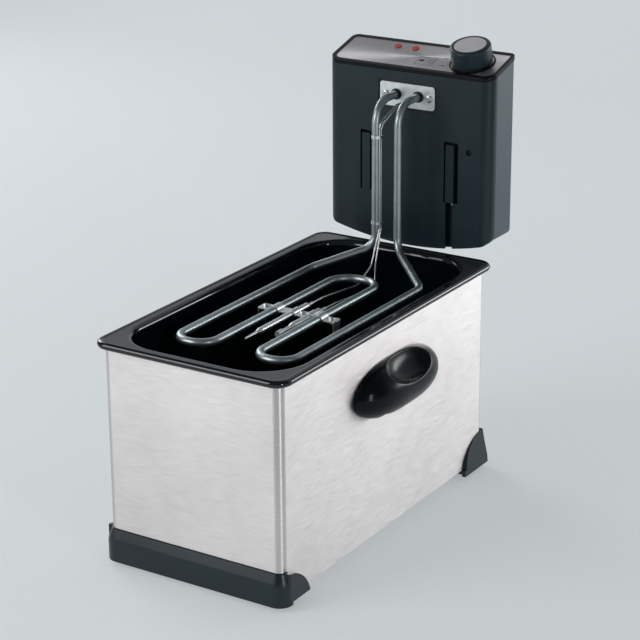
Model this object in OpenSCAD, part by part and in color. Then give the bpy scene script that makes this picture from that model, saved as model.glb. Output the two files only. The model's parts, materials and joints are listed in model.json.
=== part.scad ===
// Deep fryer with a lift-off control head, an enamelled oil pot and a brushed steel housing.
// Origin: on the floor, under the middle of the whole object. +Z up, the head is at the back (+Y).
// The head is drawn lifted clear of the pot; it seats by going straight down.

/* [Housing] */
// Width over the pot's rolled rim
rim_w = 205; // [190:1:220]
// Length over the pot's rolled rim
rim_l = 386; // [360:1:400]
// Height of the rim above the floor
rim_z = 221; // [210:1:240]
// How far the rim stands out past the steel
rim_overhang = 7.5; // [7:0.5:9]
// Radius of the steel housing's upright corners
steel_r = 8; // [6:1:14]
// Thickness of the steel sheet
steel_t = 1; // [0.8:0.1:1.5]
// Height of the steel's lower edge above the floor
steel_z = 12; // [10:1:16]

/* [Pot] */
// Corner radius of the pot's well
well_r = 45; // [30:1:60]
// Depth of the well below the rim
well_depth = 166; // [140:1:175]
// Radius between the well's floor and walls
well_floor_r = 14; // [6:1:20]
// Thickness of the enamelled sheet
pot_t = 1.5; // [1:0.1:2]

/* [Control head] */
// Width of the head
head_w = 186; // [170:1:190]
// Depth of the head, front to back
head_d = 52.8; // [50:0.2:60]
// Height of the head's front face
head_h = 182; // [170:1:190]
// Slope of the control panel, in degrees
panel_slope = 16; // [10:0.5:30]
// Depth of the front shell, up to the seam
front_shell_d = 13; // [10:1:18]
// Wall of both plastic shells
shell_t = 2.5; // [2:0.1:3]
// Free space between the rim and the head's face
head_gap = 1.2; // [1:0.1:3]
// How far the head's lowest point hangs below the rim when seated
head_drop = 140; // [130:1:145]
// Height at which the head is drawn above its seat
lift_height = 140; // [0:1:200]

/* [Heating element] */
// Outer diameter of the heating tube
tube_d = 8; // [6:0.5:9]
// Distance between the two upright legs
leg_pitch = 25; // [20:1:40]
// Distance from the head's face to the legs
leg_reach = 40; // [30:1:50]
// Distance between the outer runs
outer_pitch = 126; // [100:1:140]
// Distance between the inner runs
inner_pitch = 49; // [36:1:60]
// Height of the tube exits above the head's lowest point
exit_z = 155; // [150:1:160]
// Height of the flat part of the element, measured the same way
coil_z = -12; // [-14:1:-8]

/* [Controls] */
// Diameter of the thermostat knob
knob_d = 41; // [36:1:44]
// Height of the thermostat knob
knob_h = 18; // [14:1:22]

/* [Handles and feet] */
// Length of a side handle
handle_l = 137; // [120:1:150]
// Height of a side handle
handle_h = 53.4; // [48:0.2:60]
// How far the front foot bar stands out from the steel
bar_out = 5; // [3:0.5:6]
// Thickness of the rubber feet under the housing
foot_h = 5.2; // [4:0.1:7]

/* [Hidden] */

$fn = 48;
eps = 0.01;
reach = 300;                                    // longer than any cut has to be
through = 20;                                   // longer than any bored wall is thick

// Colours
steel_c = [0.78, 0.77, 0.76];
tube_c = [0.62, 0.63, 0.64];
enamel_c = [0.03, 0.03, 0.035];
gloss_c = [0.02, 0.02, 0.025];
front_c = [0.1, 0.12, 0.13];
rear_c = [0.3, 0.35, 0.38];
rubber_c = [0.06, 0.06, 0.06];
zinc_c = [0.8, 0.8, 0.78];
brass_c = [0.75, 0.6, 0.3];
cream_c = [0.85, 0.83, 0.76];

// Housing, in the object's frame
total_l = rim_l + head_gap + head_d;
rim_y = -total_l / 2 + rim_l / 2;               // middle of the housing along Y
steel_w = rim_w - 2 * rim_overhang;
steel_l = rim_l - 2 * rim_overhang;
steel_back = rim_y + steel_l / 2;
steel_front = rim_y - steel_l / 2;
face_y = rim_y + rim_l / 2 + head_gap;          // front face of the control head
head_z = rim_z - head_drop + lift_height;       // lowest point of the head as drawn

// Pot rim
bead_r = 3.5;                                   // rolled outer edge
rim_fold_r = 5;                                 // curve from the flange down into the well
flange_drop = 0.8;                              // flange below the top of the bead
flange_w = 14.5;                                // rim's outer edge to the well's wall
well_w = rim_w - 2 * flange_w;
well_l = rim_l - 2 * flange_w;
rim_gap = 0.35;                                 // between the pot's flange and the steel's edge
steel_top = rim_z - flange_drop - pot_t - rim_gap;
hem_top = 1.5;
hem_bottom = 20;
hem_ends = 28;

// Foot screws
foot_x = 84;
foot_inset = 16;                                // from the steel's front or back to a foot's middle
foot_front_y = steel_front + foot_inset;
foot_back_y = steel_back - foot_inset;
foot_r = 9;
screw_r = 2;
screw_fit = 0.05;
screw_bore_r = screw_r + screw_fit;
base_z = steel_z + steel_t;
base_t = 2;
base_gap = 0.5;
steel_play = 0.05;                              // between the feet and the steel
foot_play = 0.2;

// Front foot bar
band_h = 32;                                    // band along the front, above its lower edge
band_fold = 20.5;                               // where the band starts to lean towards the steel
band_lip = [1.2, 31.2];
cheek_r = 40.2;                                 // round cheek on each side
cheek_mid = [steel_front - 0.5, -3];
cheek_front = steel_front + 4;
cheek_low = foot_h + 3;
cheek_top = 43;                                 // top of the rear feet's cheeks
pad_t = 6.5;                                    // floor under the steel's edge
pad_w = 37;

// Side handle, a pod turned about an axis that lies just inside the steel's face
handle_y = rim_y + 5;
handle_z = rim_z - 64;
handle_r = handle_h / 2;
pod_sink = 0.5;
dish_mid = [27, 3, 29];                         // thumb dish, a turned form as well
dish_r = 24.5;
dish_half = 46;
hollow_x = [1.5, 15.5];                         // finger hollow, from the steel outwards
hollow_half = 40;
hollow_top = -9;
handle_screw_pitch = 74;
handle_screw_z = -4;
handle_screw_l = 8;

// Hangers, and the channels in the head that run down over them
hanger_x = 48;
hanger_top = 51.2;                              // above the head's lowest point, seated
hanger_h = 52;
tongue_w = 11;
tongue_t = 2;
hanger_plate = [26, 1.5];
rivet_head = [3.2, 0.8];                        // radius and height
rivet_xs = [-9, 9];
rivet_zs = [10, 42];
tongue_y = 3.3;                                 // front of the tongue, behind the head's face
web_w = 5;
ledge_h = 3;                                    // left hanger's ledge, which passes under the head
mouth_w = 8;
channel_w = 13;
channel_d = 4;
tongue_play = 0.3;                              // above the tongue when the head is seated
pocket_w = 16;
pocket_shift = 1.6;                             // the guide stands off the pocket's middle
pocket_h = 62;
pocket_d = 7;
guide_w = 9;
guide_gap = 3;                                // above the guide
guide_z = hanger_top + tongue_play;
duct_wall = 2;
backing = [76, 2, 34];                          // thicker wall behind the element's flange

// Head outline
head_corner_r = 12;
head_back_r = 7;
head_belly_r = 330;                             // bowed lower edge
head_chin_r = 12;                               // corners of the lower edge
seam_step = 0.7;                                // rear shell inside the front shell's outline
seam_gap = 0.4;
panel_t = 4;
plate_margin = 4;
panel_l = head_d / cos(panel_slope);
knob_x = 57.5;
knob_v = panel_l / 2;
spindle_r = 3;
spindle_l = 13;                                 // below the panel
knob_seat = 1.6;
knob_bore = 11;
hub_r = 5.5;
cap_sink = 1.2;
cap_margin = 4.5;
ring_r = 23.2;
ring_w = 1.8;
plate_sink = 0.6;                               // plate's face below the frame's
lamp_xs = [-14, -34];
lamp_v = 41;
lamp_r = 3;
casing_screw_x = 75;
casing_screw_r = 1.5;
boss_r = 4;
screw_sink = 1.7;                               // how deep the casing screws' heads sit
casing_screw_zs = [35, 155];
reset_x = 69.5;
reset_z = 105.5;
reset_r = 2.6;
pin_r = 1.75;
pin_x = hanger_x + 2.3;
pin_l = 8;
pin_drop = 2.5;                                 // how far the pin hangs below the guide
gland_x = -62;
gland_z = 32;
gland_r = 8;
cord_r = 3.6;

// Element flange
flange_plate = [62, 24, 2];
flange_proud = 1;
flange_corner = 3;
flange_margin = 5;                              // recess larger than the flange
flange_z = exit_z - 0.5;
flange_screw_x = 24.6;

// Heating element path, as drawn from one terminal to the other
tube_r = tube_d / 2;
coil_front = -317;                              // front of the outer loops, from the head's face
coil_back = -87;                                // back of the middle loop
knee_y = -82;                                   // where the outer runs turn up towards the legs
clamp_y = -202;
clamp_w = 12;
clamp_t = 0.9;
clamp_half = 42;
clamp_foot_h = 12;
clamp_toe = 3.6;
clamp_screw_xs = [-36.5, 4.6, 36.5];
clamp_screw_r = 1.5;
bulb_a = [-5, 3];                               // thermostat bulb: place across, radius
bulb_b = [14, 3.5];                             // limiter bulb: place across, radius
capillary_r = 0.8;
capillary_lane = 1.4;                           // each line's offset from the middle of the leg
capillary_hole_x = -2;
capillary_hole_z = -6;                          // below the middle of the flange
capillary_hole_r = 2.4;
clip_zs = [31, 119];

function half_path(s) = [[s * leg_pitch / 2, 12, exit_z], [s * leg_pitch / 2, -leg_reach, exit_z],
    [s * leg_pitch / 2, -leg_reach, 8], [s * outer_pitch / 2, knee_y, coil_z],
    [s * outer_pitch / 2, coil_front, coil_z], [s * inner_pitch / 2, coil_front, coil_z],
    [s * inner_pitch / 2, coil_back, coil_z]];
loop_r = (outer_pitch - inner_pitch) / 4 - 1;
middle_r = inner_pitch / 2 - 1;
bend_lap = 0.6;                                  // how far a bend laps over the straights
bend_swell = 0.06;                              // how much thicker a bend is than the straights
rod_seam = 37;
half_radii = [0, 22, 18, 14, loop_r, loop_r, middle_r];
element_path = concat(half_path(-1), [for (k = [6:-1:0]) half_path(1)[k]]);
element_radii = concat(half_radii, [for (k = [6:-1:0]) half_radii[k]]);

// ---------- Shared shapes ----------

// Rectangle with true round corners, about the origin
module rounded_rect(w, l, r) {
    square([w - 2 * r, l], center = true);
    square([w, l - 2 * r], center = true);
    for (x = [-1, 1], y = [-1, 1])
        translate([x * (w / 2 - r), y * (l / 2 - r)]) circle(r);
}

// Sweeps a profile round a rounded rectangle: the profile's x points outwards, its y up
module sweep_round(w, l, r) {
    for (k = [0:3]) {
        hx = (k % 2 == 0 ? w : l) / 2;
        hy = (k % 2 == 0 ? l : w) / 2;
        rotate(90 * k) {
            translate([hx, hy - r, 0]) rotate([90, 0, 0]) linear_extrude(2 * (hy - r)) children();
            translate([hx - r, hy - r, 0])
                rotate_extrude(angle = 90) translate([r, 0]) children();
        }
    }
}

// Block with upright round corners and a rounded floor
module pan(w, l, r, floor_r, h) {
    translate([0, 0, floor_r]) linear_extrude(h - floor_r) rounded_rect(w, l, r);
    linear_extrude(floor_r) rounded_rect(w - 2 * floor_r, l - 2 * floor_r, r - floor_r);
    translate([0, 0, floor_r])
        sweep_round(w - 2 * floor_r, l - 2 * floor_r, r - floor_r)
            intersection() {
                circle(floor_r);
                translate([-eps, -floor_r]) square([floor_r + eps, floor_r + eps]);
            }
}

// Extrusions along X and along Y of a profile drawn as it is seen
module along_x(length) rotate([90, 0, 90]) linear_extrude(length, center = true) children();
module along_y(y0, y1) translate([0, y1, 0]) rotate([90, 0, 0]) linear_extrude(y1 - y0) children();

// Rod between two points, its seam turned away from the seams of the bends
module rod(a, b, r) {
    d = b - a;
    length = norm(d);
    translate(a) rotate([0, acos(d.z / length), atan2(d.y, d.x)]) rotate(rod_seam)
        cylinder(h = length, r = r);
}

// One bend of radius bend_r at corner p, coming along unit vector u and leaving along v.
// It swells by bend_swell, as bent tube does, and laps over the ends of the straights.
module bend(p, u, v, bend_r, r) {
    turn = acos(u * v);
    across = v - (v * u) * u;
    n = across / norm(across);
    axis = cross(u, n);
    c = p - u * (bend_r * tan(turn / 2)) + n * bend_r;
    lap = bend_lap / bend_r * 180 / PI;
    multmatrix([[-n.x, u.x, axis.x, c.x], [-n.y, u.y, axis.y, c.y],
                [-n.z, u.z, axis.z, c.z], [0, 0, 0, 1]])
        rotate([0, 0, -lap]) rotate_extrude(angle = turn + 2 * lap)
            translate([bend_r, 0]) circle(r + bend_swell);
}

// Tube that follows points with a true arc at each corner
module bent_tube(points, radii, r) {
    last = len(points) - 1;
    units = [for (k = [0:last - 1]) (points[k + 1] - points[k]) / norm(points[k + 1] - points[k])];
    cut = [for (k = [0:last]) k == 0 || k == last ? 0
        : radii[k] * tan(acos(units[k - 1] * units[k]) / 2)];
    for (k = [0:last - 1])
        rod(points[k] + units[k] * (cut[k] - (k == 0 ? 0 : bend_lap * 0.6)),
            points[k + 1] - units[k] * (cut[k + 1] - (k == last - 1 ? 0 : bend_lap * 0.6)), r);
    for (k = [1:last - 1]) bend(points[k], units[k - 1], units[k], radii[k], r);
}

// Pan-head screw, head up, its seat at z = 0, with a cross recess
module pan_screw(r, length, head_r, head_h) {
    difference() {
        union() {
            translate([0, 0, -length]) cylinder(h = length, r = r);
            cylinder(h = head_h * 0.6, r = head_r);
            translate([0, 0, head_h * 0.6]) cylinder(h = head_h * 0.4, r = head_r * 0.8);
        }
        for (a = [0, 90]) rotate(a)
            translate([0, 0, head_h]) cube([head_r * 1.1, head_r * 0.28, head_h], center = true);
    }
}

// ---------- Housing ----------

module foot_places()
    for (x = [-foot_x, foot_x], y = [foot_front_y, foot_back_y]) translate([x, y, 0]) children();

module hanger_rivet_places()
    for (s = [-1, 1], x = rivet_xs, z = rivet_zs)
        translate([s * hanger_x + x, steel_back, hanger_z() + z]) children();

function hanger_z() = rim_z - head_drop + hanger_top - hanger_h;

module handle_screw_places()
    for (s = [-1, 1], y = [-1, 1])
        translate([s * steel_w / 2, handle_y + y * handle_screw_pitch / 2, handle_z + handle_screw_z])
            rotate([0, s * 90, 0]) children();

module housing_shell() color(steel_c) difference() {
    union() {
        translate([0, rim_y, steel_z]) linear_extrude(steel_top - steel_z) difference() {
            rounded_rect(steel_w, steel_l, steel_r);
            rounded_rect(steel_w - 2 * steel_t, steel_l - 2 * steel_t, steel_r - steel_t);
        }
        // Top edge turned inwards, under the pot's flange
        translate([0, rim_y, steel_top - steel_t]) linear_extrude(steel_t) difference() {
            rounded_rect(steel_w - steel_t, steel_l - steel_t, steel_r - steel_t / 2);
            rounded_rect(steel_w - 2 * (steel_t + hem_top), steel_l - 2 * (steel_t + hem_top),
                steel_r / 2);
        }
        // Bottom edge turned inwards, to carry the base and the feet
        translate([0, rim_y, steel_z]) linear_extrude(steel_t) difference() {
            rounded_rect(steel_w - steel_t, steel_l - steel_t, steel_r - steel_t / 2);
            square([steel_w - 2 * hem_bottom, steel_l - 2 * hem_ends], center = true);
        }
    }
    foot_places() cylinder(h = reach, r = screw_bore_r, center = true);
    hanger_rivet_places() rotate([90, 0, 0])
        cylinder(h = through, r = screw_bore_r, center = true);
    handle_screw_places() cylinder(h = through, r = screw_bore_r, center = true);
}

module base_plate() color(rear_c) difference() {
    inside = 2 * (steel_t + base_gap);
    vent = [3.5, 60];
    vent_pitch = 24;
    translate([0, rim_y, base_z]) linear_extrude(base_t)
        rounded_rect(steel_w - inside, steel_l - inside, steel_r - steel_t);
    foot_places() cylinder(h = reach, r = screw_bore_r, center = true);
    for (k = [-2:2], s = [-1, 1])
        translate([k * vent_pitch, rim_y + s * vent.y * 1.5, base_z])
            cube([vent.x, vent.y, 3 * base_t], center = true);
}

// Section of the front bar's band: upright below, leaning towards the steel above
module foot_bar_profile()
    polygon([[0, 0], [bar_out, 0], [bar_out, band_fold], band_lip, [0, band_h]]);

module front_foot_bar() color(gloss_c) {
    outer_w = steel_w + 2 * bar_out;
    difference() {
        intersection() {
            translate([0, rim_y, foot_h]) linear_extrude(band_h)
                rounded_rect(outer_w, steel_l + 2 * bar_out, steel_r + bar_out);
            union() {
                // Band along the front and round both corners
                intersection() {
                    translate([0, rim_y, foot_h]) sweep_round(steel_w, steel_l, steel_r)
                        foot_bar_profile();
                    translate([-outer_w / 2, steel_front - bar_out, 0])
                        cube([outer_w, bar_out + steel_r, 2 * band_h]);
                }
                // Round cheeks on both sides
                for (s = [-1, 1]) translate([s * (steel_w + bar_out) / 2, 0, 0])
                    along_x(bar_out) intersection() {
                        translate(cheek_mid) circle(cheek_r, $fn = 96);
                        translate([cheek_front, cheek_low]) square(2 * cheek_r);
                    }
                // Floor under the steel's edge, wider at the corners
                translate([0, steel_front + bar_out / 2, foot_h + pad_t / 2])
                    cube([outer_w, 3 * bar_out, pad_t], center = true);
                for (s = [-1, 1]) translate([s * (steel_w - pad_w) / 2, foot_front_y, foot_h + pad_t / 2])
                    cube([pad_w, pad_w, pad_t], center = true);
            }
        }
        steel_seat();
        foot_places() cylinder(h = reach, r = screw_bore_r, center = true);
    }
}

// What the steel takes up in a foot
module steel_seat() translate([0, rim_y, steel_z - foot_play]) linear_extrude(reach)
    rounded_rect(steel_w + 2 * steel_play, steel_l + 2 * steel_play, steel_r);

// Upper edge of a rear cheek, which rises from the steel's lower edge and levels out
function swept(from, span) = [for (a = [0:15:90])
    [from + span * (1 - cos(a)), steel_z + (cheek_top - steel_z) * sin(a)]];

// Corner foot: swept-up cheeks on the side and the back that lean out towards the floor
module rear_foot() difference() {
    side_out = 4;
    back_out = 7;
    side_l = 41;
    back_l = 36;
    step = 3;                                   // upright start of each swept edge
    lip = 0.6;                                  // thickness left at the top
    lean_z = foot_h + 8;                        // the side leans in above this
    corner_x = steel_w / 2;
    union() {
        // Side cheek
        translate([corner_x, 0, 0]) intersection() {
            translate([side_out / 2, 0, 0]) along_x(side_out) polygon(concat(
                [[steel_back - side_l, foot_h], [steel_back - side_l, steel_z]],
                swept(steel_back - side_l + step, side_l - step),
                [[steel_back + back_out, foot_h]]));
            along_y(steel_back - side_l, steel_back + back_out) polygon([[0, foot_h],
                [side_out, foot_h], [side_out, lean_z], [lip, cheek_top], [0, cheek_top]]);
        }
        // Back cheek
        intersection() {
            along_y(steel_back - steel_t, steel_back + back_out) polygon(concat(
                [[corner_x + side_out, foot_h], [corner_x - back_l, foot_h],
                [corner_x - back_l, steel_z]],
                swept(corner_x - back_l + step, back_l - 2 * step),
                [[corner_x + lip, cheek_top]]));
            along_x(reach) polygon([[steel_back - steel_t, foot_h], [steel_back + back_out, foot_h],
                [steel_back + lip, cheek_top], [steel_back - steel_t, cheek_top]]);
        }
        // Floor under the steel's corner
        translate([corner_x - pad_w / 2, foot_back_y - 1, foot_h + pad_t / 2])
            cube([pad_w + lip, pad_w + step, pad_t], center = true);
    }
    steel_seat();
    foot_places() cylinder(h = reach, r = screw_bore_r, center = true);
}

module rear_foot_left() color(gloss_c) mirror([1, 0, 0]) rear_foot();
module rear_foot_right() color(gloss_c) rear_foot();

module rubber_feet() color(rubber_c) foot_places() difference() {
    chamfer = 1;
    recess = [4.2, 3];                          // radius and depth of the hole for the screw's head
    union() {
        cylinder(h = foot_h, r = foot_r);
        translate([0, 0, chamfer]) cylinder(h = foot_h - chamfer, r = foot_r + chamfer);
    }
    cylinder(h = reach, r = screw_bore_r, center = true);
    translate([0, 0, recess[1] - through]) cylinder(h = through, r = recess[0]);
}

module foot_screws() color(zinc_c) foot_places()
    translate([0, 0, 3]) rotate([180, 0, 0]) pan_screw(screw_r, base_z + base_t, 3.8, 2);

// Convex form turned about the Y axis
module turned_along_y(points) hull() rotate([90, 0, 0]) rotate_extrude() polygon(points);

// Side handle on the +X side, drawn about its own middle on the steel face: half of a smooth
// turned pod, with a thumb dish above and a finger hollow below
module side_handle() difference() {
    intersection() {
        translate([-pod_sink, 0, 0]) turned_along_y([for (a = [-90:10:90])
            [handle_r * sqrt(1 - pow(abs(sin(a)), 3)), handle_l / 2 * sin(a)]]);
        translate([0, -handle_l, -handle_r]) cube([handle_r, 2 * handle_l, 2 * handle_r]);
    }
    translate(dish_mid) turned_along_y([for (a = [-90:15:90])
        [dish_r * cos(a), dish_half * sin(a)]]);
    translate([hollow_x[0], -hollow_half, hollow_top - handle_r])
        cube([hollow_x[1] - hollow_x[0], 2 * hollow_half, handle_r]);
    // Screw bosses
    for (y = [-1, 1]) translate([0, y * handle_screw_pitch / 2, handle_screw_z])
        rotate([0, 90, 0]) cylinder(h = 2 * handle_screw_l, r = screw_bore_r, center = true);
}

module side_handle_right() color(gloss_c)
    translate([steel_w / 2, handle_y, handle_z]) side_handle();
module side_handle_left() color(gloss_c) mirror([1, 0, 0])
    translate([steel_w / 2, handle_y, handle_z]) side_handle();

module handle_screws() color(zinc_c) handle_screw_places()
    translate([0, 0, -steel_t]) rotate([180, 0, 0]) pan_screw(screw_r, handle_screw_l, 3.6, 2);

// Pressed steel hanger: a plate on the housing's back and an upright tongue inside the head.
// A web joins them on the right; on the left it is only a ledge below the head's edge.
module hanger(side) difference() {
    back = steel_back - face_y;
    top_x = side * hanger_x;
    translate([top_x, face_y, hanger_z()]) {
        translate([-hanger_plate.x / 2, back, 0]) cube([hanger_plate.x, hanger_plate.y, hanger_h]);
        translate([-web_w / 2, back, 0])
            cube([web_w, tongue_y - back + eps, side > 0 ? hanger_h : ledge_h]);
        translate([-tongue_w / 2, tongue_y, 0]) cube([tongue_w, tongue_t, hanger_h]);
    }
    hanger_rivet_places() rotate([90, 0, 0])
        cylinder(h = through, r = screw_bore_r, center = true);
    // Shoulder that pushes the interlock pin up
    if (side > 0) translate([pin_x - pin_r - steel_play, face_y, hanger_z() + hanger_h - pin_drop - 0.5])
        cube([tongue_w, head_d, head_d]);
}

module hanger_left() color(zinc_c) hanger(-1);
module hanger_right() color(zinc_c) hanger(1);

module hanger_rivets() color(zinc_c) hanger_rivet_places() rotate([-90, 0, 0]) {
    inside = -steel_t - 1;
    translate([0, 0, inside]) cylinder(h = hanger_plate.y - inside, r = screw_r);
    translate([0, 0, hanger_plate.y]) cylinder(h = rivet_head[1], r = rivet_head[0]);
    translate([0, 0, inside]) cylinder(h = 1, r = rivet_head[0]);
}

// ---------- Pot ----------

module oil_pot() color(enamel_c) translate([0, rim_y, rim_z]) {
    fold_z = -flange_drop - rim_fold_r;
    difference() {
        translate([0, 0, -well_depth - pot_t])
            pan(well_w + 2 * pot_t, well_l + 2 * pot_t, well_r + pot_t, well_floor_r + pot_t,
                well_depth + pot_t + fold_z);
        translate([0, 0, -well_depth]) pan(well_w, well_l, well_r, well_floor_r, well_depth);
    }
    // Rounded fold from the well to the flange
    sweep_round(well_w, well_l, well_r) intersection() {
        translate([rim_fold_r, fold_z]) difference() {
            circle(rim_fold_r);
            circle(rim_fold_r - pot_t);
        }
        translate([0, fold_z]) square(rim_fold_r);
    }
    // Flat flange
    translate([0, 0, -flange_drop - pot_t]) linear_extrude(pot_t) difference() {
        rounded_rect(rim_w - 2 * bead_r, rim_l - 2 * bead_r, steel_r + rim_overhang - bead_r);
        rounded_rect(well_w + 2 * rim_fold_r, well_l + 2 * rim_fold_r, well_r + rim_fold_r);
    }
    // Rolled outer edge
    sweep_round(rim_w - 2 * bead_r, rim_l - 2 * bead_r, steel_r + rim_overhang - bead_r)
        translate([0, -bead_r]) circle(bead_r);
}

// ---------- Control head ----------

module head_frame() translate([0, face_y, head_z]) children();

// The control panel's own frame: x across, y up the slope, z out of the panel
module panel_place() head_frame() translate([0, 0, head_h]) rotate([panel_slope, 0, 0]) children();

// Head seen from the front, bowed below
module head_front_outline(inset) {
    half = head_w / 2 - inset;
    belly = head_belly_r - inset;
    chin = head_chin_r - min(inset, head_chin_r / 2);
    chin_x = half - chin;
    chin_z = head_belly_r - sqrt(pow(belly - chin, 2) - pow(chin_x, 2));
    touch_x = chin_x * belly / (belly - chin);
    intersection() {
        translate([0, head_belly_r]) circle(belly, $fn = 400);
        translate([-touch_x, -1]) square([2 * touch_x, reach]);
    }
    translate([-half, chin_z]) square([2 * half, reach - chin_z]);
    for (s = [-1, 1]) translate([s * chin_x, chin_z]) circle(chin);
}

// Head seen from above
module head_plan(inset) {
    half = head_w / 2 - inset;
    front_r = head_corner_r - min(inset, head_corner_r / 4);
    back_r = head_back_r - min(inset, head_back_r / 2);
    for (s = [-1, 1]) {
        translate([s * (half - front_r), inset + front_r]) circle(front_r);
        translate([s * (half - back_r), head_d - inset - back_r]) circle(back_r);
    }
    translate([front_r - half, inset]) square([2 * (half - front_r), head_d - 2 * inset]);
    translate([-half, inset + front_r])
        square([2 * half, head_d - 2 * inset - front_r - back_r]);
    translate([back_r - half, head_d / 2])
        square([2 * (half - back_r), head_d / 2 - inset]);
}

// Solid head up to the slope, less drop along the panel's normal
module head_form(inset, drop) intersection() {
    linear_extrude(reach) head_plan(inset);
    along_y(-1, head_d + 1) head_front_outline(inset);
    along_x(head_w + 2) polygon([[-1, -1], [head_d + 1, -1],
        [head_d + 1, head_h + (head_d + 1) * tan(panel_slope) - drop / cos(panel_slope)],
        [-1, head_h - tan(panel_slope) - drop / cos(panel_slope)]]);
}

module at_front(y0, y1) translate([-head_w, y0, -1]) cube([2 * head_w, y1 - y0, reach]);

module casing_screw_places()
    for (s = [-1, 1], z = casing_screw_zs)
        translate([s * casing_screw_x, 0, z]) rotate([-90, 0, 0]) children();

module head_front_shell() color(front_c) head_frame() difference() {
    union() {
        difference() {
            intersection() {
                head_form(0, panel_t);
                at_front(0, front_shell_d);
            }
            difference() {
                head_form(shell_t, -1);
                // Walls round the pockets and channels for the hangers
                for (s = [-1, 1]) {
                    translate([s * hanger_x + pocket_shift - pocket_w / 2 - duct_wall, 0,
                            guide_z - duct_wall])
                        cube([pocket_w + 2 * duct_wall, pocket_d + duct_wall,
                            pocket_h + 2 * duct_wall]);
                    translate([s * hanger_x - channel_w / 2 - duct_wall, 0, 0])
                        cube([channel_w + 2 * duct_wall, shell_t + channel_d + duct_wall, guide_z]);
                }
                // Backing of the flange's recess
                translate([-backing.x / 2, 0, flange_z - backing.z / 2])
                    cube([backing.x, shell_t + backing.y, backing.z]);
            }
        }
        // Screw bosses
        casing_screw_places() translate([0, 0, shell_t - 1])
            cylinder(h = head_d - 2 * shell_t - 3.8, r = boss_r);
    }
    for (s = [-1, 1]) {
        // Pocket with the guide standing in it
        difference() {
            translate([s * hanger_x + pocket_shift - pocket_w / 2, -1, guide_z])
                cube([pocket_w, pocket_d + 1, pocket_h]);
            translate([s * hanger_x - guide_w / 2, -2, guide_z - 1])
                cube([guide_w, through, pocket_h + 1 - guide_gap]);
        }
        // Channel for the hanger's tongue; the right one is open in front, for the web
        if (s > 0) translate([hanger_x - mouth_w / 2, -1, -1])
            cube([mouth_w, shell_t + 1.5, guide_z + 1 - tongue_play]);
        translate([s * hanger_x - channel_w / 2, shell_t, -1])
            cube([channel_w, channel_d, guide_z + 1 - tongue_play]);
    }
    // Bore of the interlock pin, up inside the right guide
    translate([pin_x, tongue_y + tongue_t / 2, guide_z - 1])
        cylinder(h = pin_l + pin_drop + 1, r = pin_r + screw_fit);
    // Hole for the reset button
    translate([reset_x, 0, reset_z]) rotate([90, 0, 0])
        cylinder(h = through, r = reset_r + 0.5, center = true);
    // Recess of the element flange, with holes for tubes, capillaries and screws
    translate([0, 0, flange_z]) {
        along_y(-1, flange_plate.z - flange_proud)
            rounded_rect(flange_plate.x + flange_margin, flange_plate.y + flange_margin,
                flange_corner + 1);
        for (s = [-1, 1]) {
            translate([s * leg_pitch / 2, 0, exit_z - flange_z]) rotate([90, 0, 0])
                cylinder(h = through, r = tube_r + 0.3, center = true);
            translate([s * flange_screw_x, 0, 0]) rotate([90, 0, 0])
                cylinder(h = through, r = screw_bore_r, center = true);
        }
        translate([capillary_hole_x, 0, capillary_hole_z]) rotate([90, 0, 0])
            cylinder(h = through, r = capillary_hole_r + 0.8, center = true);
    }
    casing_screw_places() translate([0, 0, front_shell_d - 1])
        cylinder(h = head_d, r = casing_screw_r + screw_fit);
}

module head_rear_shell() color(rear_c) head_frame() difference() {
    intersection() {
        head_form(seam_step, panel_t);
        at_front(front_shell_d + seam_gap, head_d + 1);
    }
    intersection() {
        head_form(shell_t + seam_step, -1);
        at_front(0, head_d - shell_t);
    }
    casing_screw_places() {
        cylinder(h = reach, r = casing_screw_r + 0.15);
        translate([0, 0, head_d - seam_step - screw_sink]) cylinder(h = reach, r = 3.4);
    }
    translate([gland_x, 0, gland_z]) rotate([-90, 0, 0]) cylinder(h = reach, r = gland_r);
}

module casing_screws() color(zinc_c) head_frame() casing_screw_places()
    translate([0, 0, head_d - seam_step - screw_sink]) pan_screw(casing_screw_r, 22, 3, 1.5);

module panel_frame() color(gloss_c) difference() {
    head_frame() difference() {
        head_form(0, 0);
        head_form(-1, panel_t);
        // Rebate for the plate
        intersection() {
            head_form(plate_margin, 0);
            difference() {
                head_form(-1, -1);
                head_form(-2, 1.8);
            }
        }
    }
    panel_place() panel_holes();
}

module panel_holes() {
    translate([knob_x, knob_v, 0]) cylinder(h = through, r = spindle_r + 1.5, center = true);
    lamp_places() cylinder(h = through, r = lamp_r + 0.1, center = true);
}

module lamp_places() for (x = lamp_xs) translate([x, lamp_v, 0]) children();

module panel_plate() color(steel_c) difference() {
    head_frame() intersection() {
        head_form(plate_margin + 0.15, plate_sink);
        difference() {
            head_form(-1, -1);
            head_form(-2, 1.75);
        }
    }
    panel_place() panel_holes();
}

module indicator_lamps() color([0.7, 0.12, 0.08]) panel_place() lamp_places() {
    translate([0, 0, -14]) cylinder(h = 13.6, r = lamp_r);
    translate([0, 0, -0.6]) cylinder(h = 0.8, r = lamp_r + 0.8);
}

// Thin ring that frames the bare metal round the knob
module knob_ring() color(rubber_c) panel_place()
    translate([knob_x, knob_v, eps - plate_sink]) difference() {
        union() {
            cylinder(h = 0.7, r = ring_r);
            cylinder(h = 1, r = ring_r - 0.4);
        }
        cylinder(h = through, r = ring_r - ring_w, center = true);
    }

module thermostat_body() color(cream_c) panel_place() translate([knob_x, knob_v, 0]) difference() {
    can = [14, 15];                             // radius and height of the can
    bush = [5, 4.6];
    can_top = -9;
    union() {
        translate([0, 0, can_top - can[1]]) cylinder(h = can[1], r = can[0]);
        translate([0, 0, can_top - can[1] + 4]) cube([34, 10, 2], center = true);
        translate([0, 0, can_top]) cylinder(h = bush[1], r = bush[0]);
    }
    translate([0, 0, -14]) cylinder(h = through, r = spindle_r + screw_fit);
}

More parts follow.
